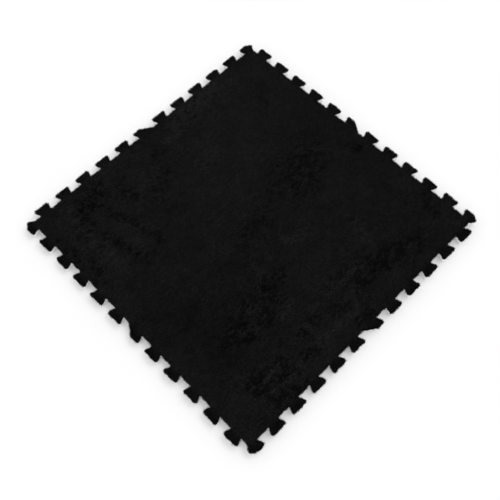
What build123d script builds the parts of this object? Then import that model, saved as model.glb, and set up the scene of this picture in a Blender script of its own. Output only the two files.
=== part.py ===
from build123d import *
import os

# Plush floor mat of four interlocking square tiles, in millimetres.
# The origin is on the floor under the middle of the mat, where the four tiles meet.
# +X is to the right, +Y to the rear, +Z up.

# Driving dimensions
TILE_PITCH = 300.0        # from the middle of one tile to the middle of the next
TILES_PER_SIDE = 2
TEETH_PER_SIDE = 6        # tabs along each side of one tile
TAB_TIP_WIDTH = 31.2      # the widest part of a dovetail tab, before its corners are rounded
TAB_HEIGHT = 8.0          # from the joint line out to the tab's tip, and in to the bottom of a gap
TOOTH_RADIUS = 2.0        # rounded corners of the tabs and gaps
CORNER_RUN = 11.5         # length of the slope between a tile's corner and the tip or the gap beside it
CUT_CLEARANCE = 0.3       # play between two tiles' cut edges

FOAM_THICKNESS = 10.0
FILM_THICKNESS = 0.3
BACKING_THICKNESS = 0.7
PILE_THICKNESS = 4.0

# Worked-out dimensions
HALF_TILE = TILE_PITCH / 2
TOOTH_PITCH = TILE_PITCH / TEETH_PER_SIDE
FLANK_SLANT = (TAB_TIP_WIDTH - TOOTH_PITCH / 2) / 2

LAYERS = (
    ("foam_base", FOAM_THICKNESS),
    ("glue_film", FILM_THICKNESS),
    ("knit_backing", BACKING_THICKNESS),
    ("plush_pile", PILE_THICKNESS),
)
ROWS = ("front", "rear")
COLUMNS = ("left", "right")


def side_edges():
    """One side of a tile from its left corner to its right corner, seen with the inside below.

    The side starts with a gap and ends with a tab, each with a straight slope to the tile's corner. It
    crosses the joint line, y = HALF_TILE, at every half tooth pitch, so the next tile's side fits it exactly.
    """
    tip = HALF_TILE + TAB_HEIGHT
    valley = HALF_TILE - TAB_HEIGHT

    points = [Vector(-HALF_TILE, HALF_TILE), Vector(-HALF_TILE + CORNER_RUN, valley)]
    for tooth in range(TEETH_PER_SIDE):
        gap_start = -HALF_TILE + tooth * TOOTH_PITCH
        tab_start = gap_start + TOOTH_PITCH / 2
        if tooth > 0:
            points.append(Vector(gap_start + FLANK_SLANT, tip))
            points.append(Vector(gap_start - FLANK_SLANT, valley))
        points.append(Vector(tab_start + FLANK_SLANT, valley))
        points.append(Vector(tab_start - FLANK_SLANT, tip))
    points.append(Vector(HALF_TILE - CORNER_RUN, tip))
    points.append(Vector(HALF_TILE, HALF_TILE))
    return FilletPolyline(*points, radius=TOOTH_RADIUS).edges()


def tile_outline():
    """The outline of one tile: the same side four times round, less half the cut clearance."""
    side = side_edges()
    edges = [edge.rotate(Axis.Z, -90 * turn) for turn in range(4) for edge in side]
    outline = Wire(edges)
    return Face(outline.offset_2d(-CUT_CLEARANCE / 2))


def layer_solid(outline, bottom, thickness, x, y):
    """One layer of one tile, as a flat sheet of the tile's outline."""
    return extrude(Pos(x, y, bottom) * outline, amount=thickness, dir=(0, 0, 1))


def build():
    """Every node of the mat, by name."""
    outline = tile_outline()
    nodes = {}
    for row, row_name in enumerate(ROWS):
        for column, column_name in enumerate(COLUMNS):
            x = (column - (TILES_PER_SIDE - 1) / 2) * TILE_PITCH
            y = (row - (TILES_PER_SIDE - 1) / 2) * TILE_PITCH
            bottom = 0.0
            for layer_name, thickness in LAYERS:
                name = f"{layer_name}_{row_name}_{column_name}"
                nodes[name] = layer_solid(outline, bottom, thickness, x, y)
                bottom += thickness
    return nodes


os.makedirs("parts", exist_ok=True)
for node_name, solid in build().items():
    solid.label = node_name
    export_step(solid, f"parts/{node_name}.step")
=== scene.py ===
import math

import bpy
import numpy as np
from mathutils import Matrix, Vector
from mathutils.geometry import delaunay_2d_cdt
from mathutils.kdtree import KDTree


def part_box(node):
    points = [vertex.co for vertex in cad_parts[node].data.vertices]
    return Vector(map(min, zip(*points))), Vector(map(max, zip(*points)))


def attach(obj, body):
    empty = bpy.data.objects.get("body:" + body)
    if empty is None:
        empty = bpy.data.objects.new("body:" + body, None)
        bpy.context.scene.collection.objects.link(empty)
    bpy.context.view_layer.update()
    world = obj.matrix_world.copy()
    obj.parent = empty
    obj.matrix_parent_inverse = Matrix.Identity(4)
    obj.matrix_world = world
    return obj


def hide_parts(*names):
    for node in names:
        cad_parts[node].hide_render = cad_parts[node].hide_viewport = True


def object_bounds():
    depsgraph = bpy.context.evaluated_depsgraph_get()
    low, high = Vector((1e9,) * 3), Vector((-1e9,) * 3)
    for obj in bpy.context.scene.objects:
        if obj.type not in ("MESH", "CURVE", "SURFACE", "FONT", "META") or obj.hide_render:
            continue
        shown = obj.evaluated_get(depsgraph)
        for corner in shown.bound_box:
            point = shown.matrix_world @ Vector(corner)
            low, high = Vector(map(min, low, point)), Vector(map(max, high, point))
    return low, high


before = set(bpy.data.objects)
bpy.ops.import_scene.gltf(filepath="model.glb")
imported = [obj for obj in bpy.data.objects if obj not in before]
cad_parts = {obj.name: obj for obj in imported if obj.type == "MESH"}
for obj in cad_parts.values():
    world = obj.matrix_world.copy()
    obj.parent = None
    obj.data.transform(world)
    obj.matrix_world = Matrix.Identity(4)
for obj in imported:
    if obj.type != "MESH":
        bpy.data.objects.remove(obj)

# Looks of a plush floor mat made of four interlocking tiles.
# Shapes are worked out in millimetres about a tile's own centre, and become metres as each mesh is made.

cad_low, cad_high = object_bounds()

MM = 0.001
TILES = ("front_left", "front_right", "rear_left", "rear_right")
TILE_BOXES = [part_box(f"foam_base_{tile}") for tile in TILES]
TILE_CENTRES = [np.array([(low.x + high.x) / 2, (low.y + high.y) / 2]) / MM for low, high in TILE_BOXES]

# Cut edges
WALL_STEP = 0.6            # spacing of the points round a foam or pile edge
CLOTH_STEP = 0.3           # spacing round the knitted backing, which has finer scallops
CORNER_SOFTNESS = 0.4      # blur along the outline, which takes the flats out of its round corners
CORNER_ROOM = 0.55         # share of a corner's radius that an inward move may use
FIELD_STEP = 0.5           # spacing of the grid that holds the distance to the outline
FIELD_REACH = 12.0         # how far inside the outline that distance is kept
FIELD_MARGIN = 6.0         # how far that grid runs past the tile
SEAM_PROBE = 2.5           # a cut edge with a tile this far beyond it is a seam, and the rest is the rim
NOISE_CELLS = 128          # size of the table of random values behind each soft noise

# The random wear and unevenness below are lists of soft noises. Each has a strength, the width of its
# patches in millimetres, and a seed.

# Foam underside
GRIP_PITCH = 9.0
GRIP_DEPTH = 0.35
GRIP_SPACING = 1.6
GRIP_BORDER = 1.2          # width of the plain border along the cut edge
GRIP_FADE = 4.0            # the dimples reach their full depth over this width

# Glue film
SQUEEZE = 0.06             # how far the glue came out past the cut edge, on average
SQUEEZE_NOISE = ((0.09, 2.2, 21), (0.05, 0.8, 22))

# Knitted backing
WALE = 1.2                 # width of one column of stitches
WALE_DEPTH = 0.09

# Dense lower part of the pile
MASS_SPACING = 3.0         # of the points over its top
MASS_HEIGHT = 1.4
MASS_BULGE = (0.08, 0.45)  # how far it swells past a seam's edge, and past the rim
MASS_WAVES = ((0.16, 9.0, 31), (0.1, 3.5, 32))

# Shape of a tuft
TUFT_WIDTH = (0.62, 1.05)
TUFT_REACH = (3.0, 5.8)    # how far a tuft leans over
TUFT_RISE = (2.1, 2.95)
TUFT_BEND = (1.3, 2.1)     # radians of its arch: past a quarter turn the tip comes down again
TUFT_STATIONS = np.array([0.0, 0.36, 0.7, 1.0])  # places along it, from root to tip
TUFT_PROFILE = np.array([0.75, 1.0, 0.72])  # share of its width at the first three: the last is the tip
TUFT_ROOT_SHADE = (0.3, 0.75, 0.95, 1.0)  # share of its tone at each of them: painted shade, darkest at the root deep in the pile
TUFT_SWEEP = 1.15          # above 1, it leans over more towards its tip
TUFT_CURL = 0.5            # spread of its turn to one side from root to tip, in radians
TUFT_FLATNESS = 0.55       # thickness as a share of the width
TUFT_BELLY = (0.7, 1.3)    # shares of that thickness below and above the middle

# Where the tufts stand
TUFT_SPACING = 1.6
TUFT_JITTER = 0.45         # random shift of a root, as a share of the spacing
TUFT_INSET = 0.7           # from the cut edge to the nearest tufts of the face
TUFT_ROOT = 1.0            # height of the tufts' roots over the underside of the pile
ROOT_JITTER = 0.15         # random change of that height
TONE_JITTER = 0.25         # random change of tone from tuft to tuft
TONE_LEAST = 0.02
STRAY = 0.34               # radians that a tuft strays from the way the pile was brushed
FLARE_REACH = 4.0          # how far in from a cut edge the pile leans out
FLARE_EASE = 1.5           # above 1, most of that comes close to the edge
FLARE_LOSS = 0.6           # share of the brushed heading that is lost at the edge
FLARE_PULL = 1.2           # weight of the outward heading there
REACH_TRIES = 8            # a tuft that hangs too far over a cut edge is shortened at most this often
REACH_CUT = 0.8            # share of its reach that is left each time
REACH_CHECKS = (1.0, 0.6)  # places along it that are held against the edge

# Fringe along the cut edges
EDGE_STEP = 0.6            # spacing of the tufts along a cut edge
EDGE_JITTER = 0.4          # random shift of a root, as a share of the spacing
EDGE_LEAN = 0.55           # spread of the headings about straight out, in radians
EDGE_CURL = 0.3
EDGE_ROWS = (              # inset and root height of each row, and the limits of its tufts' rise and bend
    (0.55, TUFT_ROOT, (1.5, 2.6), (1.7, 2.5)),
    (0.5, 0.35, (0.35, 0.95), (2.2, 2.9)))
RIM_OVERHANG = (1.6, 3.1)
RIM_RAGGED = 1.5           # how much further the pile hangs over the rim in some places than in others
RAGGED_PATCH = 4.0         # width of those places
SEAM_OVERHANG = (0.3, 1.2)
WISP_STEP = 0.16           # spacing of the loose fibres along the rim, before they are thinned out
WISP_THINNING = (-0.6, 0.7)  # a fibre stays where a random value in this range is below the clumps' noise
WISP_CLUMP = 5.0           # size of the places where they are many or few
WISP_LEAN = 0.6            # spread of their headings, in radians
WISP_INSET = (0.3, 1.6)
WISP_HEIGHT = (0.5, 2.4)   # of their roots over the underside of the pile
WISP_WIDTH = (0.12, 0.26)
WISP_OVERHANG = (2.5, 5.8)
WISP_RISE = (0.5, 1.6)
WISP_BEND = (1.8, 3.0)

# How the pile was brushed
BRUSHED_WAY = -2.0         # average heading of the tufts, in radians from +X
STANDING = 0.5             # average of how much they stand up, from 0 to 1
TONE = 0.5                 # average tone, from 0 to 1
WAY_NOISE = ((1.0, 95, 11), (0.7, 34, 12), (0.5, 7, 21))
STANDING_NOISE = ((0.2, 55, 13), (0.2, 17, 14))
TONE_NOISE = ((0.05, 60, 17), (0.07, 22, 18))
FLECKS = ((0.65, 2.3, 19), (0.35, 5.2, 20))
FLECK_STRETCH = (1.0, 0.5)  # the flecks run twice as long from front to rear as across
FLECK_TONE = (0.26, 0.65)  # change of tone in a fleck, and how much that grows where the pile is ruffled
PAINTED_RIM_SHADE = (0.3, 0.7)     # painted shade: share of the pile's tone left on the front and right rims, whose fringe turns its shaded side to the camera, and on the other two
PAINTED_RIM_SHADE_WIDTH = 8        # width of the band that is shaded in full
PAINTED_RIM_SHADE_FADE = 12        # the shade is gone this much further in

# Strokes of feet and hands across the pile: where each starts and ends in millimetres from the mat's middle,
# its half width, and how much darker it left the pile, or lighter below zero. A stroke turns and lifts the
# tufts, and its darker or lighter tone is painted shade and sheen of the turned nap.
STROKES = (
    # a foot's turn in the middle of the rear half
    ((-35, 190), (-15, 120), 28, 0.7), ((10, 170), (20, 120), 20, 0.6), ((-25, 100), (-10, 50), 20, 0.3),
    ((15, 20), (12, 12), 9, 1.0), ((15, -20), (20, -35), 13, 0.5),
    # long strokes down the right side, with lifted pile between them
    ((250, 200), (232, 120), 17, 1.1), ((225, 110), (232, 50), 14, 1.1), ((240, -5), (232, -22), 12, 1.0),
    ((280, 30), (278, -5), 7, 1.1), ((196, 95), (188, 0), 7, 1.0), ((222, -50), (224, -95), 8, 1.1),
    ((250, -92), (253, -115), 9, 1.2), ((226, -150), (222, -215), 8, 2.0), ((251, -150), (242, -222), 8, 2.0),
    ((285, -150), (274, -210), 8, 1.6), ((205, 70), (203, -40), 6, -0.9), ((238, 45), (232, 15), 7, -0.9),
    ((258, 50), (258, -90), 6, -0.9), ((236, -140), (236, -205), 5, -1.0),
    ((262, -130), (256, -200), 5, -1.1),
    # a heel's mark on the right front tile
    ((114, -38), (125, -80), 11, 1.5), ((145, -80), (150, -105), 12, 1.2),
    ((118, -115), (140, -190), 12, 1.3), ((160, -120), (162, -168), 8, 1.3),
    ((168, -60), (176, -90), 7, -1.1),
    # sweeps of a hand over the left front tile
    ((-255, -150), (-245, -200), 18, 0.9), ((-240, -215), (-205, -215), 8, 0.6),
    ((-225, -132), (-185, -112), 9, 0.7), ((-195, -45), (-170, -90), 18, 0.6),
    ((-240, -15), (-242, -35), 9, 0.7), ((-200, -170), (-90, -140), 7, 0.9),
    ((-170, -212), (-80, -188), 8, 0.9), ((-140, -260), (-115, -275), 12, 0.8),
    ((-230, -282), (-170, -278), 6, 0.6), ((-262, -235), (-95, -232), 11, -0.6),
    ((-260, -258), (-170, -260), 6, -0.7), ((-150, -182), (-85, -170), 6, -0.3),
    # fingertips near the rear edge
    ((28, 270), (36, 266), 7, 1.7), ((200, 274), (238, 258), 6, 1.4), ((-215, 235), (-185, 215), 12, 0.5),
    # pile laid over along the left edge, in the middle and on the rear tiles
    ((-270, 150), (-272, 60), 18, -1.3), ((-240, 130), (-235, 105), 10, -0.7),
    ((-252, 45), (-250, 10), 9, -1.0), ((92, 55), (82, 28), 7, -1.2), ((80, 26), (55, 22), 6, -0.8),
    ((135, 140), (190, 125), 9, -0.7), ((110, 92), (170, 80), 6, -0.5), ((55, -52), (100, -62), 6, -0.6),
    ((-180, 60), (-145, 20), 18, -0.4),
    # broad sweeps of painted sheen and shade: lighter over the rear left tile, and darker over the front of
    # the mat
    ((-230, 230), (-140, 60), 95, -0.7), ((75, -100), (65, -200), 50, 0.5),
    ((50, -225), (190, -225), 40, 0.5))
STROKE_SHADE = 0.205       # painted shade and sheen: change of tone in a stroke of strength 1
STROKE_TURN = 0.5          # how far that stroke turns the heading, in radians
STROKE_LIFT = 0.3          # how much more it makes the pile stand up
STROKE_WOBBLE = 3.0        # how far a stroke's sides stray
BROAD = 35                 # a stroke with a greater half width leaves the pile smooth
RUFFLED_MOST = 1.2

# Light and camera, in metres and degrees
WORLD_STRENGTH = 1.32
KEY_PLACE = (0.4, 1.6, 2.3)
KEY_WIDTH = 36             # of the lamp, as seen from the mat
KEY_STRENGTH = 0.82
CAMERA_AZIMUTH = 47.40     # from the front towards the right
CAMERA_ELEVATION = 65.58
CAMERA_ROLL = -2.34
CAMERA_DISTANCE = 1.287
CAMERA_TARGET = (0.0414, -0.04225)
CAMERA_LENS = 49.85        # millimetres on a 36 mm sensor
FLOOR_SIDE = 8.0           # half the width of the floor
FLOOR_DROP = 0.0002        # from the mat's underside down to the floor


# ---------------------------------------------------------------- outlines

def cad_outline(node, centre):
    """The outline of a CAD layer's underside, anticlockwise from above, in millimetres about the centre."""
    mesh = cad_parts[node].data
    points = np.array([v.co[:] for v in mesh.vertices]) / MM
    underside = points[:, 2].min() + 0.01
    _, first, same = np.unique(points.round(3), axis=0, return_index=True, return_inverse=True)
    same = same.ravel()
    loose = set()
    for face in mesh.polygons:
        corners = list(face.vertices)
        if points[corners, 2].max() < underside:
            ring = [int(same[i]) for i in corners]
            for edge in zip(ring, ring[1:] + ring[:1]):
                if edge[::-1] in loose:
                    loose.remove(edge[::-1])
                else:
                    loose.add(edge)
    following = dict(loose)
    start = min(following)
    walk = [start]
    while following[walk[-1]] != start:
        walk.append(following[walk[-1]])
    return points[first[walk], :2][::-1] - centre


def resampled(loop, step):
    """Points evenly spaced along a closed loop."""
    closed = np.vstack([loop, loop[:1]])
    along = np.concatenate([[0.0], np.cumsum(np.linalg.norm(np.diff(closed, axis=0), axis=1))])
    count = round(along[-1] / step)
    places = np.arange(count) * along[-1] / count
    return np.column_stack([np.interp(places, along, closed[:, k]) for k in range(2)])


def softened(loop, step):
    """A closed loop of evenly spaced points after a short Gaussian blur along its length."""
    frequency = np.fft.fftfreq(len(loop), d=step)
    kept = np.exp(-2 * (math.pi * frequency * CORNER_SOFTNESS) ** 2)
    return np.fft.ifft(np.fft.fft(loop, axis=0) * kept[:, None], axis=0).real


def outward(loop):
    """The outward unit normal at each point of an anticlockwise loop."""
    tangent = np.roll(loop, -1, axis=0) - np.roll(loop, 1, axis=0)
    tangent /= np.linalg.norm(tangent, axis=1)[:, None]
    return np.column_stack([tangent[:, 1], -tangent[:, 0]])


def staggered_grid(low, high, spacing):
    """Rows of points, with every second row shifted by half a step."""
    rows = np.arange(low[1], high[1], spacing * math.sqrt(0.75))
    columns = np.arange(low[0], high[0], spacing)
    x, y = np.meshgrid(columns, rows)
    x[1::2] += spacing / 2
    return np.column_stack([x.ravel(), y.ravel()])


class EdgeDistance:
    """How far points lie outside a tile's outline, in millimetres. Inside is negative."""

    def __init__(self, loop):
        normals = outward(loop)
        self.low = loop.min(0) - FIELD_MARGIN
        self.size = np.ceil((loop.max(0) + FIELD_MARGIN - self.low) / FIELD_STEP).astype(int) + 1
        x, y = (self.low[k] + np.arange(self.size[k]) * FIELD_STEP for k in range(2))
        grid = np.stack(np.meshgrid(x, y, indexing="ij"), axis=-1)
        self.values = np.full(grid.shape[:2], -FIELD_REACH)
        core = np.abs(loop).max(1).min() - FIELD_REACH
        near = np.abs(grid).max(-1) > core
        tree = KDTree(len(loop))
        for i, (px, py) in enumerate(loop):
            tree.insert((px, py, 0.0), i)
        tree.balance()
        found = [tree.find((px, py, 0.0)) for px, py in grid[near]]
        nearest = np.array([f[1] for f in found])
        away = np.array([f[2] for f in found])
        side = np.sign(((grid[near] - loop[nearest]) * normals[nearest]).sum(-1))
        self.values[near] = np.maximum(away * side, -FIELD_REACH)

    def at(self, points):
        """The distance at each point, and the outward direction there."""
        place = (points - self.low) / FIELD_STEP
        cell = np.clip(np.floor(place).astype(int), 0, self.size - 2)
        u, v = np.clip(place - cell, 0, 1).T
        i, j = cell.T
        a, b = self.values[i, j], self.values[i + 1, j]
        c, d = self.values[i, j + 1], self.values[i + 1, j + 1]
        distance = (a * (1 - u) + b * u) * (1 - v) + (c * (1 - u) + d * u) * v
        slope = np.column_stack([(b - a) * (1 - v) + (d - c) * v, (c - a) * (1 - u) + (d - b) * u])
        slope /= np.maximum(np.linalg.norm(slope, axis=1), 1e-6)[:, None]
        return distance, slope


def at_rim(points, normals, edge, centre):
    """1 where a cut edge is on the mat's rim, and 0 where it faces another tile across a seam."""
    beyond = points + normals * SEAM_PROBE + centre
    clear = np.ones(len(points), bool)
    for other in TILE_CENTRES:
        clear &= edge.at(beyond - other)[0] > 0
    return clear.astype(float)


def smooth_noise(points, patch, seed):
    """Soft random values from -1 to 1, in patches about that wide, at points about the mat's middle."""
    table = np.random.default_rng(seed).uniform(-1, 1, (NOISE_CELLS, NOISE_CELLS))
    place = points / patch + NOISE_CELLS / 2
    cell = np.floor(place).astype(int)
    u, v = (place - cell).T
    u, v = u * u * (3 - 2 * u), v * v * (3 - 2 * v)
    i, j = (cell % (NOISE_CELLS - 1)).T
    near = table[i, j] * (1 - u) + table[i + 1, j] * u
    far = table[i, j + 1] * (1 - u) + table[i + 1, j + 1] * u
    return near * (1 - v) + far * v


def layered_noise(points, layers):
    """The sum of soft noises, from the strength, patch and seed of each."""
    return sum(strength * smooth_noise(points, patch, seed) for strength, patch, seed in layers)


# ---------------------------------------------------------------- meshes

def new_piece(name, points, faces, finish, body, values=None):
    """An object from points in millimetres and arrays of faces, riding on a body."""
    mesh = bpy.data.meshes.new(name)
    corners = np.concatenate([f.ravel() for f in faces])
    sizes = np.concatenate([np.full(len(f), f.shape[1]) for f in faces])
    starts = np.concatenate([[0], np.cumsum(sizes)[:-1]])
    mesh.vertices.add(len(points))
    mesh.vertices.foreach_set("co", (points * MM).astype(np.float32).ravel())
    mesh.loops.add(len(corners))
    mesh.loops.foreach_set("vertex_index", corners.astype(np.int32))
    mesh.polygons.add(len(sizes))
    mesh.polygons.foreach_set("loop_start", starts.astype(np.int32))
    mesh.update(calc_edges=True)
    mesh.polygons.foreach_set("use_smooth", np.ones(len(sizes), bool))
    for key, value in (values or {}).items():
        mesh.attributes.new(key, "FLOAT", "POINT").data.foreach_set("value", value.astype(np.float32))
    mesh.materials.append(finish)
    piece = bpy.data.objects.new(name, mesh)
    bpy.context.scene.collection.objects.link(piece)
    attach(piece, body)
    return piece


def flat_map(piece):
    """A map seen from straight above, for pieces whose colour depends on place alone."""
    mesh = piece.data
    points = np.zeros(len(mesh.vertices) * 3, np.float32)
    mesh.vertices.foreach_get("co", points)
    points = points.reshape(-1, 3)[:, :2]
    points = (points - points.min(0)) / (points.max(0) - points.min(0))
    corners = np.zeros(len(mesh.loops), np.int32)
    mesh.loops.foreach_get("vertex_index", corners)
    layer = mesh.uv_layers.new(name="OFBake")
    layer.data.foreach_set("uv", points[corners].ravel())


def filling(loop, spacing=None, edge=None):
    """Points inside a loop, and triangles over the loop's points and then those."""
    inside = np.zeros((0, 2))
    if spacing:
        grid = staggered_grid(loop.min(0), loop.max(0), spacing)
        inside = grid[edge.at(grid)[0] < -0.5 - 0.5 * spacing]
    points = np.vstack([loop, inside])
    rim = [(i, (i + 1) % len(loop)) for i in range(len(loop))]
    made = delaunay_2d_cdt([Vector(p) for p in points], rim, [], 1, 1e-6)
    source = [origin[0] for origin in made[3]]
    return inside, np.array([[source[i] for i in face] for face in made[2]])


def closed_body(rings, under, over):
    """Points and faces of a closed body, from rings of points, low to high, and the fillings of its ends."""
    around = len(rings[0])
    quads = []
    this = np.arange(around)
    after = np.roll(this, -1)
    for level in range(len(rings) - 1):
        low, high = level * around, (level + 1) * around
        quads.append(np.column_stack([low + this, low + after, high + after, high + this]))
    wall = around * len(rings)
    low_faces = np.where(under[1] < around, under[1], under[1] - around + wall)[:, ::-1]
    above = wall + len(under[0])
    high_faces = np.where(over[1] < around, over[1] + wall - around, over[1] - around + above)
    points = np.vstack([*rings, under[0], over[0]])
    return points, [np.concatenate(quads), np.concatenate([low_faces, high_faces])]


def ring(loop, normals, offset, height):
    """A loop moved outward by an offset, at a height. A sharp corner holds an inward move back."""
    after = np.roll(normals, -1, axis=0)
    turn = np.arcsin(np.clip(normals[:, 0] * after[:, 1] - normals[:, 1] * after[:, 0], 0.001, 1))
    room = CORNER_ROOM * np.linalg.norm(np.roll(loop, -1, axis=0) - loop, axis=1) / turn
    room = np.min([np.roll(room, k) for k in range(-3, 5)], axis=0)
    moved = loop + normals * np.maximum(offset, -room)[:, None]
    return np.column_stack([moved, np.broadcast_to(height, len(loop))])


def raised(points, height):
    """Flat points at a height."""
    return np.column_stack([points, np.broadcast_to(height, len(points))])


# ---------------------------------------------------------------- materials

class Finish:
    """A Principled material with short calls for the textures that drive it."""

    def __init__(self, name, roughness, specular):
        self.material = bpy.data.materials.new(name)
        self.material.use_nodes = True
        self.nodes = self.material.node_tree.nodes
        self.links = self.material.node_tree.links
        self.shader = self.nodes["Principled BSDF"]
        self.shader.inputs["Roughness"].default_value = roughness
        self.shader.inputs["Specular IOR Level"].default_value = specular
        self.place = self.nodes.new("ShaderNodeTexCoord").outputs["Object"]

    def noise(self, patch, detail=3.0, stretch=(1, 1, 1), turn=0.0):
        """Noise with patches of that size in metres."""
        mapping = self.nodes.new("ShaderNodeMapping")
        mapping.inputs["Rotation"].default_value = (0, 0, turn)
        mapping.inputs["Scale"].default_value = stretch
        self.links.new(self.place, mapping.inputs["Vector"])
        texture = self.nodes.new("ShaderNodeTexNoise")
        texture.inputs["Scale"].default_value = 1 / patch
        texture.inputs["Detail"].default_value = detail
        self.links.new(mapping.outputs["Vector"], texture.inputs["Vector"])
        return texture.outputs["Fac"]

    def cells(self, size):
        """Distance to the middle of the nearest of many round cells."""
        texture = self.nodes.new("ShaderNodeTexVoronoi")
        texture.inputs["Scale"].default_value = 1 / size
        self.links.new(self.place, texture.inputs["Vector"])
        return texture.outputs["Distance"]

    def attribute(self, name):
        node = self.nodes.new("ShaderNodeAttribute")
        node.attribute_name = name
        return node.outputs["Fac"]

    def maths(self, operation, a, b):
        node = self.nodes.new("ShaderNodeMath")
        node.operation = operation
        for socket, value in zip(node.inputs, (a, b)):
            if isinstance(value, (int, float)):
                socket.default_value = value
            else:
                self.links.new(value, socket)
        return node.outputs["Value"]

    def ramp(self, value, low, high, start, end):
        """The value from low to high, as the output from start to end."""
        node = self.nodes.new("ShaderNodeMapRange")
        for name, number in (("From Min", low), ("From Max", high), ("To Min", start), ("To Max", end)):
            node.inputs[name].default_value = number
        self.links.new(value, node.inputs["Value"])
        return node.outputs["Result"]

    def blend(self, share, dark, light):
        """A colour between two."""
        node = self.nodes.new("ShaderNodeMix")
        node.data_type = "RGBA"
        node.inputs["A"].default_value = (*dark, 1)
        node.inputs["B"].default_value = (*light, 1)
        self.links.new(share, node.inputs["Factor"])
        return node.outputs["Result"]

    def colour(self, output):
        self.links.new(output, self.shader.inputs["Base Color"])

    def roughness(self, output):
        self.links.new(output, self.shader.inputs["Roughness"])

    def bump(self, height, distance, strength=1.0):
        node = self.nodes.new("ShaderNodeBump")
        node.inputs["Strength"].default_value = strength
        node.inputs["Distance"].default_value = distance
        self.links.new(height, node.inputs["Height"])
        self.links.new(node.outputs["Normal"], self.shader.inputs["Normal"])


def foam_finish():
    """White closed-cell foam, cut clean: fine open cells on a faintly uneven white."""
    made = Finish("eva_foam", 0.62, 0.3)
    cells = made.cells(0.00042)
    cloudy = made.noise(0.018)
    tone = made.maths("ADD", made.maths("MULTIPLY", cells, 0.35), made.maths("MULTIPLY", cloudy, 0.75))
    made.colour(made.blend(tone, (0.79, 0.79, 0.785), (0.87, 0.87, 0.865)))
    made.roughness(made.ramp(made.noise(0.004), 0.3, 0.7, 0.54, 0.72))
    made.bump(cells, 0.00006, 0.7)
    made.shader.inputs["Subsurface Weight"].default_value = 0.12
    made.shader.inputs["Subsurface Radius"].default_value = (1.0, 0.95, 0.9)
    made.shader.inputs["Subsurface Scale"].default_value = 0.0025
    return made.material


def film_finish():
    """Hot-melt film: milky, a little glossy, with small bubbles."""
    made = Finish("glue_film", 0.34, 0.45)
    made.colour(made.blend(made.noise(0.0015), (0.55, 0.54, 0.51), (0.80, 0.79, 0.75)))
    made.roughness(made.ramp(made.noise(0.003), 0.3, 0.7, 0.28, 0.46))
    made.bump(made.cells(0.0007), 0.00004, 0.6)
    return made.material


def knit_finish():
    """Black polyester knit: columns of stitches with a soft thread."""
    made = Finish("knit_backing", 0.86, 0.12)
    stitches = made.noise(0.0007, 2.0, stretch=(1.0, 0.4, 1.0))
    made.colour(made.blend(stitches, (0.006, 0.006, 0.007), (0.018, 0.018, 0.020)))
    made.roughness(made.ramp(made.noise(0.002), 0.3, 0.7, 0.78, 0.94))
    made.bump(stitches, 0.00012)
    return made.material


def pile_tone(made):
    """Slow patches of brushed pile with finer streaks in them."""
    patches = made.noise(0.045, 2.0)
    streaks = made.noise(0.006, 3.0, stretch=(1.0, 0.35, 1.0), turn=0.8)
    return made.maths("ADD", made.maths("MULTIPLY", patches, 0.6), made.maths("MULTIPLY", streaks, 0.4))


def mass_finish():
    """The dense lower part of the pile, in its own shade."""
    made = Finish("pile_mass", 0.96, 0.04)
    made.colour(made.blend(pile_tone(made), (0.0026, 0.0026, 0.0027), (0.0051, 0.0051, 0.0054)))
    made.bump(made.noise(0.0009), 0.0005)
    return made.material


def tuft_finish():
    """Black plush tufts, with painted shade that darkens them towards the root, and a slight sheen along the
    fibres.
    """
    made = Finish("plush_tufts", 0.9, 0.0)
    share = made.maths("MULTIPLY", made.attribute("tone"), made.ramp(pile_tone(made), 0.3, 0.7, 0.92, 1.08))
    made.colour(made.blend(share, (0.0002, 0.0002, 0.0002), (0.0232, 0.0230, 0.0231)))
    made.shader.inputs["Sheen Weight"].default_value = 0.024
    made.shader.inputs["Sheen Roughness"].default_value = 0.5
    made.shader.inputs["Sheen Tint"].default_value = (0.5, 0.5, 0.5, 1)
    return made.material


def floor_finish():
    """A plain, pale studio floor, which the light turns white."""
    made = Finish("pale_floor", 0.85, 0.1)
    made.colour(made.blend(made.noise(0.3), (0.65, 0.65, 0.65), (0.67, 0.67, 0.67)))
    return made.material


# ---------------------------------------------------------------- layers of a tile
# A profile says how far out a layer's wall stands at each height over its underside.

def heights(layer, tile):
    """Lowest and highest point of a CAD layer, in millimetres."""
    low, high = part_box(f"{layer}_{tile}")
    return low.z / MM, high.z / MM


def foam_shape(loop, edge, low, high):
    """The foam block: rounded at both rims, a little hollow between, with shallow grip dimples underneath."""
    normals = outward(loop)
    thick = high - low
    profile = (
        (-1.2, 0.0), (-0.7, 0.14), (-0.28, 0.5), (-0.06, 1.1), (-0.06, 0.3 * thick), (-0.12, 0.55 * thick),
        (-0.06, 0.82 * thick), (0.0, thick - 0.6), (-0.06, thick - 0.2), (-0.3, thick))
    rings = [ring(loop, normals, offset, low + height) for offset, height in profile]
    under, under_faces = filling(rings[0][:, :2], GRIP_SPACING, edge)
    wave = np.cos(under * 2 * math.pi / GRIP_PITCH).prod(1)
    fade = np.clip((-edge.at(under)[0] - GRIP_BORDER) / GRIP_FADE, 0, 1)
    dimples = low + GRIP_DEPTH * fade * (0.5 + 0.5 * wave)
    over, over_faces = filling(rings[-1][:, :2])
    return closed_body(rings, (raised(under, dimples), under_faces), (raised(over, high), over_faces))


def film_shape(loop, low, high):
    """The glue film, with an edge that squeezed out unevenly."""
    normals = outward(loop)
    squeeze = SQUEEZE + layered_noise(loop, SQUEEZE_NOISE)
    thick = high - low
    profile = ((-0.3, 0.0), (squeeze - 0.03, 0.25 * thick), (squeeze, 0.55 * thick),
               (squeeze - 0.05, 0.85 * thick), (-0.3, thick))
    rings = [ring(loop, normals, offset, low + height) for offset, height in profile]
    cap, faces = filling(rings[0][:, :2])
    return closed_body(rings, (raised(cap, low), faces), (raised(cap, high), faces))


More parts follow.
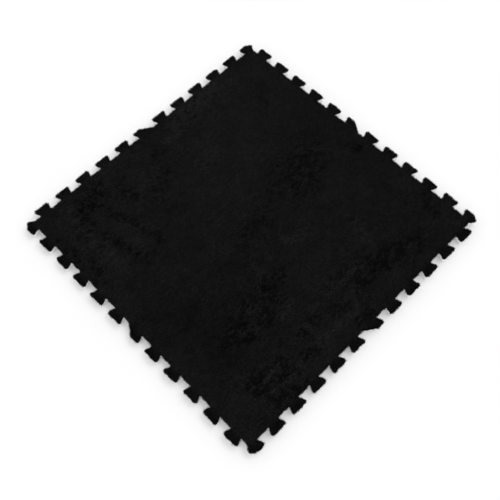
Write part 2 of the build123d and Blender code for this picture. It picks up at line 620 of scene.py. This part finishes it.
def knit_shape(loop, low, high):
    """The knitted backing, its cut edge scalloped by the columns of stitches."""
    normals = outward(loop)
    along = np.arange(len(loop)) * CLOTH_STEP
    scallop = WALE_DEPTH * np.abs(np.sin(math.pi * along / WALE)) - WALE_DEPTH / 2
    thick = high - low
    profile = ((-0.25, 0.0), (scallop - 0.03, 0.2 * thick), (scallop + 0.03, 0.5 * thick),
               (scallop - 0.03, 0.8 * thick), (-0.25, thick))
    rings = [ring(loop, normals, offset, low + height) for offset, height in profile]
    cap, faces = filling(rings[0][:, :2])
    return closed_body(rings, (raised(cap, low), faces), (raised(cap, high), faces))


def mass_shape(loop, edge, centre, low):
    """The dense lower part of the pile, which the tufts stand in."""
    normals = outward(loop)
    rim = at_rim(loop, normals, edge, centre)
    rim = np.mean([np.roll(rim, k) for k in range(-4, 5)], axis=0)
    bulge = MASS_BULGE[0] + (MASS_BULGE[1] - MASS_BULGE[0]) * rim
    profile = (
        (-0.3, 0.0), (bulge - 0.06, 0.3), (bulge, 0.7), (bulge - 0.15, 1.0), (-0.9, MASS_HEIGHT - 0.12))
    rings = [ring(loop, normals, offset, low + height) for offset, height in profile]
    over, over_faces = filling(rings[-1][:, :2], MASS_SPACING, edge)
    top = raised(over, low + MASS_HEIGHT + layered_noise(over + centre, MASS_WAVES))
    under, under_faces = filling(rings[0][:, :2])
    return closed_body(rings, (raised(under, low), under_faces), (top, over_faces))


# ---------------------------------------------------------------- pile

def tuft_mesh(root, heading, curl, reach, rise, bend, width, shade):
    """Points, faces and tones of many tufts: each a tapered three-sided lock that arches over, its tone
    painted darker towards the root as shade.
    """
    count = len(root)
    angle = np.arctan2(heading[:, 1], heading[:, 0])
    t = TUFT_STATIONS[None, :]
    turned = angle[:, None] + curl[:, None] * t
    run = reach[:, None] * t ** TUFT_SWEEP
    spine = np.stack([
        root[:, :1] + run * np.cos(turned),
        root[:, 1:2] + run * np.sin(turned),
        root[:, 2:3] + rise[:, None] * np.sin(bend[:, None] * t)], axis=-1)
    along = np.gradient(spine, axis=1)
    along /= np.linalg.norm(along, axis=2)[:, :, None]
    side = np.stack([-np.sin(turned), np.cos(turned), np.zeros_like(turned)], axis=-1)
    up = np.cross(along, side)
    up /= np.linalg.norm(up, axis=2)[:, :, None]
    half = (width[:, None] * TUFT_PROFILE / 2)[:, :, None]
    low, high = (half * TUFT_FLATNESS * share for share in TUFT_BELLY)
    body = spine[:, :3]
    rings = np.stack([
        body + side[:, :3] * half - up[:, :3] * low,
        body + up[:, :3] * high,
        body - side[:, :3] * half - up[:, :3] * low], axis=2)
    points = np.concatenate([rings.reshape(count, 9, 3), spine[:, 3:]], axis=1)
    quads = [[3 * r + k, 3 * r + (k + 1) % 3, 3 * r + 3 + (k + 1) % 3, 3 * r + 3 + k]
             for r in range(2) for k in range(3)]
    tips = [[6 + k, 6 + (k + 1) % 3, 9] for k in range(3)] + [[0, 2, 1]]
    start = 10 * np.arange(count)[:, None, None]
    faces = [(start + np.array(quads)).reshape(-1, 4), (start + np.array(tips)).reshape(-1, 3)]
    # Painted shade: each tuft's tone falls towards its root, where the pile shades it.
    root_shade = np.repeat(TUFT_ROOT_SHADE, (3, 3, 3, 1))
    tones = np.clip(shade, TONE_LEAST, 1)[:, None] * root_shade
    return points.reshape(-1, 3), faces, tones.ravel()


def between(random, limits, count):
    """That many random values between two limits."""
    return random.uniform(limits[0], limits[1], count)


def stroked(points):
    """How strongly the strokes marked the pile at each point, and how ruffled. It turns and lifts the tufts,
    and sets painted shade and sheen: darker, or lighter below zero.
    """
    stroke_strength, ruffled = np.zeros((2, len(points)))
    wobble = np.column_stack([smooth_noise(points, 11, seed) for seed in (15, 16)])
    ragged = points + STROKE_WOBBLE * wobble
    for start, end, half_width, strength in STROKES:
        start, course = np.array(start), np.subtract(end, start)
        along = np.clip((ragged - start) @ course / (course @ course), 0, 1)
        away = np.linalg.norm(ragged - start - along[:, None] * course, axis=1)
        mark = strength * 0.5 ** (away / half_width) ** 2
        stroke_strength += mark
        if half_width < BROAD:
            ruffled += np.abs(mark)
    return stroke_strength, np.minimum(ruffled, RUFFLED_MOST)


def painted_rim_shade(points):
    """Painted shade near the rim: the share of its tone that the pile keeps there. It is deepest at the front
    and the right, where the fringe falling over the edge turns its shaded side to the camera.
    """
    half = cad_high.x / MM
    x, y = points.T
    shade = np.ones(len(points))
    for reach, least in ((np.maximum(x, -y), PAINTED_RIM_SHADE[0]), (np.maximum(-x, y), PAINTED_RIM_SHADE[1])):
        inward = np.clip((half - reach - PAINTED_RIM_SHADE_WIDTH) / PAINTED_RIM_SHADE_FADE, 0, 1)
        shade *= least + (1 - least) * inward
    return shade


def brushed(points):
    """The way the pile lies at points about the mat's middle, how much it stands up, and its tone there. The
    tone holds painted shade and sheen from the strokes, and painted shade near the rim.
    """
    stroke_strength, ruffled = stroked(points)
    angle = BRUSHED_WAY + layered_noise(points, WAY_NOISE) + STROKE_TURN * stroke_strength
    standing = STANDING + layered_noise(points, STANDING_NOISE) + STROKE_LIFT * stroke_strength
    tone = TONE + layered_noise(points, TONE_NOISE) - STROKE_SHADE * stroke_strength
    tone += (FLECK_TONE[0] + FLECK_TONE[1] * ruffled) * layered_noise(points * FLECK_STRETCH, FLECKS)
    return np.column_stack([np.cos(angle), np.sin(angle)]), np.clip(standing, 0, 1), tone * painted_rim_shade(points)


def overhang(points, rim, random):
    """How far tufts may hang over the cut edge: unevenly over the mat's rim, and only a little at a seam."""
    count = len(points)
    ragged = RIM_RAGGED * smooth_noise(points, RAGGED_PATCH, 23)
    return np.where(rim, between(random, RIM_OVERHANG, count) + ragged, between(random, SEAM_OVERHANG, count))


def kept_in(edge, root, heading, reach, allowed):
    """Reach shortened until no tuft hangs further over the cut edge than allowed."""
    for _ in range(REACH_TRIES):
        places = [root + heading * share * reach[:, None] for share in REACH_CHECKS]
        over = np.max([edge.at(place)[0] for place in places], axis=0)
        reach = np.where(over > allowed, reach * REACH_CUT, reach)
    return reach


def field_tufts(edge, centre, size, low, random):
    """The tufts that cover a tile, leaning as they were brushed and outward along its cut edges."""
    grid = staggered_grid(-size, size, TUFT_SPACING)
    grid += random.uniform(-TUFT_JITTER, TUFT_JITTER, grid.shape) * TUFT_SPACING
    distance, normal = edge.at(grid)
    keep = distance < -TUFT_INSET
    grid, distance, normal = grid[keep], distance[keep], normal[keep]
    count = len(grid)
    heading, standing, tone = brushed(grid + centre)
    stray = random.normal(0, STRAY, count)
    cosine, sine = np.cos(stray), np.sin(stray)
    heading = np.column_stack([
        heading[:, 0] * cosine - heading[:, 1] * sine, heading[:, 0] * sine + heading[:, 1] * cosine])
    near = np.clip(1 + distance / FLARE_REACH, 0, 1)[:, None] ** FLARE_EASE
    heading = heading * (1 - FLARE_LOSS * near) + normal * FLARE_PULL * near
    heading /= np.maximum(np.linalg.norm(heading, axis=1), 1e-6)[:, None]
    rim = at_rim(grid - normal * distance[:, None], normal, edge, centre)
    allowed = overhang(grid + centre, rim, random)
    # A tuft that stands up reaches less far, and rises higher.
    reach = between(random, TUFT_REACH, count) * (1.15 - 0.4 * standing)
    reach = kept_in(edge, grid, heading, reach, allowed)
    rise = between(random, TUFT_RISE, count) * (0.86 + 0.16 * standing)
    root = raised(grid + centre, low + TUFT_ROOT + random.uniform(-ROOT_JITTER, ROOT_JITTER, count))
    return (root, heading, random.normal(0, TUFT_CURL, count), reach, rise, between(random, TUFT_BEND, count),
            between(random, TUFT_WIDTH, count), tone + random.uniform(-TONE_JITTER, TONE_JITTER, count))


def edge_tufts(loop, edge, centre, low, random, inset, height, rise, bend):
    """A row of tufts along the cut edge that lean out and fall over it."""
    base = resampled(loop, EDGE_STEP)
    normal = outward(base)
    count = len(base)
    tangent = np.column_stack([-normal[:, 1], normal[:, 0]])
    rim = at_rim(base, normal, edge, centre)
    shift = random.uniform(-EDGE_JITTER, EDGE_JITTER, (count, 1)) * EDGE_STEP
    base = base - normal * inset + tangent * shift
    lean = random.normal(0, EDGE_LEAN, count)[:, None]
    heading = normal * np.cos(lean) + tangent * np.sin(lean)
    over = overhang(base + centre, rim, random)
    root = raised(base + centre, low + height + random.uniform(-ROOT_JITTER, ROOT_JITTER, count))
    return (root, heading, random.normal(0, EDGE_CURL, count), inset + over, between(random, rise, count),
            between(random, bend, count), between(random, TUFT_WIDTH, count),
            brushed(base + centre)[2] + random.uniform(-TONE_JITTER, TONE_JITTER, count))


def wisps(loop, edge, centre, low, random):
    """Loose fibres that stick out of the pile along the mat's rim, in clumps, and fall over it."""
    base = resampled(loop, WISP_STEP)
    normal = outward(base)
    tangent = np.column_stack([-normal[:, 1], normal[:, 0]])
    keep = at_rim(base, normal, edge, centre) > 0
    keep &= between(random, WISP_THINNING, len(base)) < smooth_noise(base + centre, WISP_CLUMP, 24)
    base, normal, tangent = base[keep], normal[keep], tangent[keep]
    count = len(base)
    inset = between(random, WISP_INSET, count)
    lean = random.normal(0, WISP_LEAN, count)[:, None]
    root = raised(base - normal * inset[:, None] + centre, low + between(random, WISP_HEIGHT, count))
    return (root, normal * np.cos(lean) + tangent * np.sin(lean), random.normal(0, TUFT_CURL, count),
            inset + between(random, WISP_OVERHANG, count), between(random, WISP_RISE, count),
            between(random, WISP_BEND, count), between(random, WISP_WIDTH, count),
            brushed(base + centre)[2] + random.uniform(-TONE_JITTER, TONE_JITTER, count))


def pile_pieces(tile, loop, edge, centre, low, finish):
    """All the tufts of one tile: a piece for each quarter of its face, and one for the fringe round it."""
    random = np.random.default_rng(100 + TILES.index(tile))
    face = field_tufts(edge, centre, loop.max(0), low, random)
    quarter = (face[0][:, 0] > centre[0]) + 2 * (face[0][:, 1] > centre[1])
    groups = {f"plush_tufts_{tile}_{k + 1}": [values[quarter == k] for values in face] for k in range(4)}
    rows = [edge_tufts(loop, edge, centre, low, random, *row) for row in EDGE_ROWS]
    rows.append(wisps(loop, edge, centre, low, random))
    groups[f"plush_fringe_{tile}"] = [np.concatenate(parts) for parts in zip(*rows)]
    pieces = []
    for name, tufts in groups.items():
        points, faces, tones = tuft_mesh(*tufts)
        piece = new_piece(name, points, faces, finish, f"tile_{tile}", {"tone": tones})
        flat_map(piece)
        pieces.append(piece)
    return pieces


# ---------------------------------------------------------------- the mat

def layer_piece(name, layer, tile, shape, middle, finish):
    """One layer of one tile, in place of its CAD solid."""
    points, faces = shape
    piece = new_piece(f"{name}_{tile}", points + middle, faces, finish, f"tile_{tile}")
    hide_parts(f"{layer}_{tile}")
    return piece


def build_mat():
    """Every tile of the mat, layer by layer. The tiles are cut alike, so the first one's outline serves."""
    foam, film, knit = foam_finish(), film_finish(), knit_finish()
    mass, tufts = mass_finish(), tuft_finish()

    first = TILES[0]
    outline = cad_outline(f"foam_base_{first}", TILE_CENTRES[0])
    loop = softened(resampled(outline, WALL_STEP), WALL_STEP)
    fine_loop = softened(resampled(outline, CLOTH_STEP), CLOTH_STEP)
    edge = EdgeDistance(loop)
    foam_body = foam_shape(loop, edge, *heights("foam_base", first))
    film_body = film_shape(loop, *heights("glue_film", first))
    knit_body = knit_shape(fine_loop, *heights("knit_backing", first))

    for tile, (low_corner, high_corner), centre in zip(TILES, TILE_BOXES, TILE_CENTRES):
        middle = np.array([*centre, 0.0])
        block = layer_piece("eva_foam", "foam_base", tile, foam_body, middle, foam)
        bond = layer_piece("melt_film", "glue_film", tile, film_body, middle, film)
        cloth = layer_piece("knit_cloth", "knit_backing", tile, knit_body, middle, knit)

        low, _ = heights("plush_pile", tile)
        mass_body = mass_shape(loop, edge, centre, low)
        dense = layer_piece("pile_mass", "plush_pile", tile, mass_body, middle, mass)
        pile = pile_pieces(tile, loop, edge, centre, low, tufts)


# ---------------------------------------------------------------- stage, light and camera

def build_floor():
    """A white floor that the mat lies on."""
    side, level = FLOOR_SIDE, -FLOOR_DROP
    mesh = bpy.data.meshes.new("floor")
    corners = [(-side, -side, level), (side, -side, level), (side, side, level), (-side, side, level)]
    mesh.from_pydata(corners, [], [(0, 1, 2, 3)])
    mesh.materials.append(floor_finish())
    floor = bpy.data.objects.new("floor", mesh)
    bpy.context.scene.collection.objects.link(floor)


def build_light():
    """White light from all round, and a broad, far lamp from the rear."""
    world = bpy.data.worlds.new("white_studio")
    world.use_nodes = True
    world.node_tree.nodes["Background"].inputs["Color"].default_value = (1.0, 1.0, 1.0, 1)
    world.node_tree.nodes["Background"].inputs["Strength"].default_value = WORLD_STRENGTH
    bpy.context.scene.world = world
    data = bpy.data.lights.new("key", "SUN")
    data.angle = math.radians(KEY_WIDTH)
    data.energy = KEY_STRENGTH
    lamp = bpy.data.objects.new("key", data)
    lamp.location = KEY_PLACE
    lamp.rotation_euler = (-lamp.location).to_track_quat("-Z", "Y").to_euler()
    bpy.context.scene.collection.objects.link(lamp)
    bpy.context.scene.view_settings.view_transform = "Standard"


def build_camera():
    """The camera at the picture's own viewing angle, aimed at the top of the pile."""
    azimuth, elevation, roll = (math.radians(a) for a in (CAMERA_AZIMUTH, CAMERA_ELEVATION, CAMERA_ROLL))
    flat = math.cos(elevation)
    back = Vector((flat * math.sin(azimuth), -flat * math.cos(azimuth), math.sin(elevation)))
    target = Vector((*CAMERA_TARGET, cad_high.z))
    right = (-back).cross(Vector((0, 0, 1))).normalized()
    up = back.cross(right)
    data = bpy.data.cameras.new("camera")
    data.sensor_width = 36.0
    data.lens = CAMERA_LENS
    camera = bpy.data.objects.new("camera", data)
    across = right * math.cos(roll) + up * math.sin(roll)
    upward = up * math.cos(roll) - right * math.sin(roll)
    turn = Matrix((across, upward, back)).transposed()
    camera.matrix_world = Matrix.Translation(target + back * CAMERA_DISTANCE) @ turn.to_4x4()
    bpy.context.scene.collection.objects.link(camera)
    bpy.context.scene.camera = camera


build_camera()
build_mat()
build_floor()
build_light()
